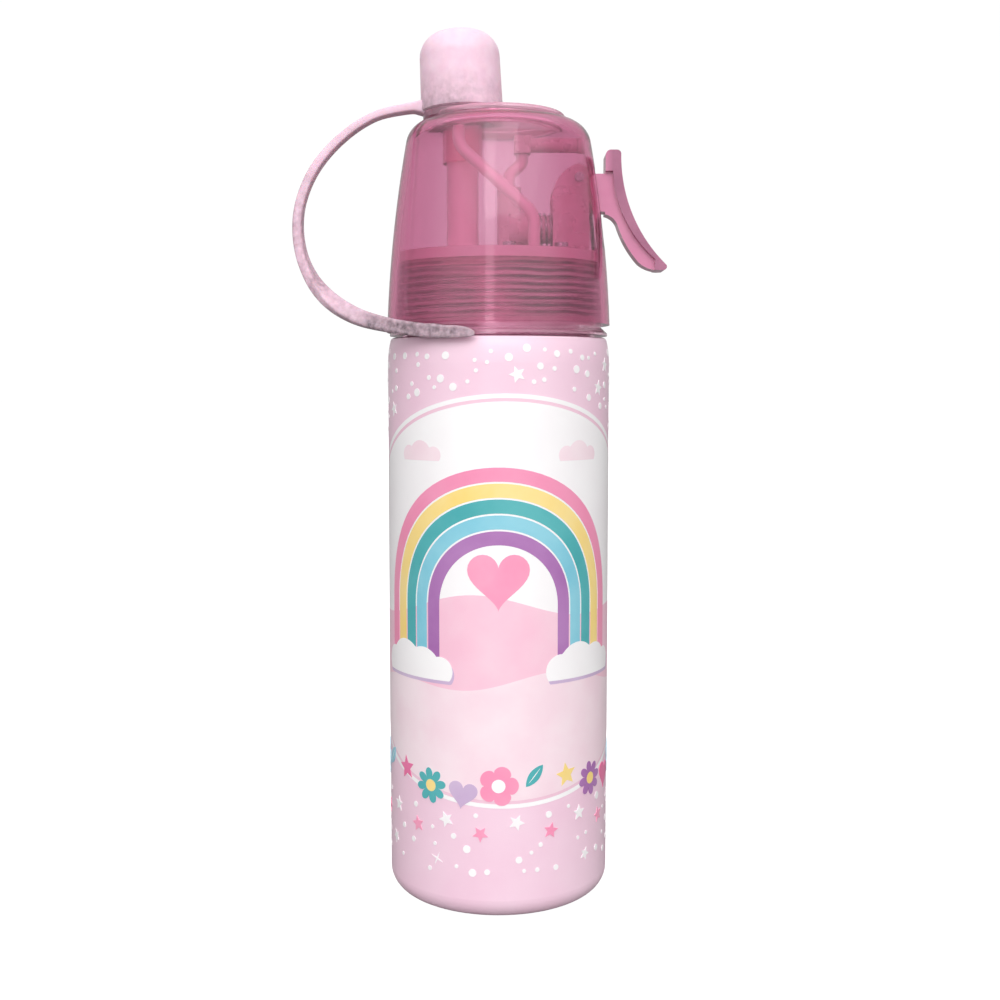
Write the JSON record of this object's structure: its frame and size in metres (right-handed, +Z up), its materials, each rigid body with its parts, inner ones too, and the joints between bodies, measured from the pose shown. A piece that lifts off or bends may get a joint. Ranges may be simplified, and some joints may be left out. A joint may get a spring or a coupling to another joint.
{
  "type": "kids mist spray water bottle",
  "caption": "Slim metal drinking bottle with a clear screw lid holding a trigger mist pump, and a soft tethered cap over its spout.",
  "frame": {"origin": "centre of the base, on the plane the bottle stands on", "axes": "+Z up along the bottle, +X towards the trigger, -Y the front, where the strap joins its collar"},
  "size_m": [0.1077, 0.0652, 0.2483],
  "materials": {
    "printed_metal": "satin print over pale pink lacquer",
    "tinted_plastic": "clear tinted gloss",
    "clear_tube": "cloudy clear tube",
    "pump_plastic": "natural moulded",
    "soft_silicone": "matte soft",
    "seal_rubber": "matte",
    "steel": "bright drawn"
  },
  "bodies": {
    "bottle": {"bottle_body": "printed_metal"},
    "seal": {"lid_gasket": "seal_rubber"},
    "lid": {"lid_shell": "tinted_plastic", "lid_base": "tinted_plastic", "mouthpiece": "tinted_plastic", "drink_tube": "clear_tube", "tube_grommet": "seal_rubber", "vent_valve": "seal_rubber", "vent_hose": "clear_tube", "cap_strap": "soft_silicone", "strap_collar": "soft_silicone", "pump_body": "pump_plastic", "return_spring": "steel", "outlet_fitting": "pump_plastic", "riser_hose": "clear_tube", "nozzle_elbow": "pump_plastic", "nozzle_tip": "pump_plastic", "dip_tube": "clear_tube", "pump_frame": "tinted_plastic", "trigger_pin": "steel", "pump_screws": "steel"},
    "cap": {"spout_cap": "soft_silicone"},
    "trigger": {"trigger_lever": "tinted_plastic"},
    "piston": {"pump_piston": "pump_plastic", "piston_seal": "seal_rubber"},
    "inlet": {"inlet_ball": "steel"},
    "outlet": {"outlet_ball": "steel"}
  },
  "joints": [
    {"name": "lid_lift", "type": "slide", "parent": "bottle", "child": "seal", "axis": [0, 0, 1], "range_m": [0, 0.01405]},
    {"name": "lid_turn", "type": "hinge", "parent": "seal", "child": "lid", "pos_m": [0, 0, 0.17], "axis": [0, 0, 1], "range_deg": [0, 1440]},
    {"name": "cap_lift", "type": "slide", "parent": "lid", "child": "cap", "axis": [-0.0436, 0, 0.999], "range_m": [0, 0.024]},
    {"name": "trigger_pull", "type": "hinge", "parent": "lid", "child": "trigger", "pos_m": [0.0225, 0, 0.2065], "axis": [0, 1, 0], "range_deg": [0, 14], "stiffness_Nm_per_rad": 0.25, "springref_deg": -14.32},
    {"name": "piston_push", "type": "slide", "parent": "lid", "child": "piston", "axis": [-1, 0, 0], "range_m": [0, 0.0035], "deforming": ["return_spring"]},
    {"name": "inlet_ball_lift", "type": "slide", "parent": "lid", "child": "inlet", "axis": [0, 0, 1], "range_m": [0, 0.0008]},
    {"name": "outlet_ball_lift", "type": "slide", "parent": "lid", "child": "outlet", "axis": [0, 0, 1], "range_m": [0, 0.0008]}
  ],
  "couplings": [
    {"joint": "lid_lift", "follows": "lid_turn", "m_per_rad": 0.00055704},
    {"joint": "piston_push", "follows": "trigger_pull", "m_per_rad": 0.013965}
  ]
}
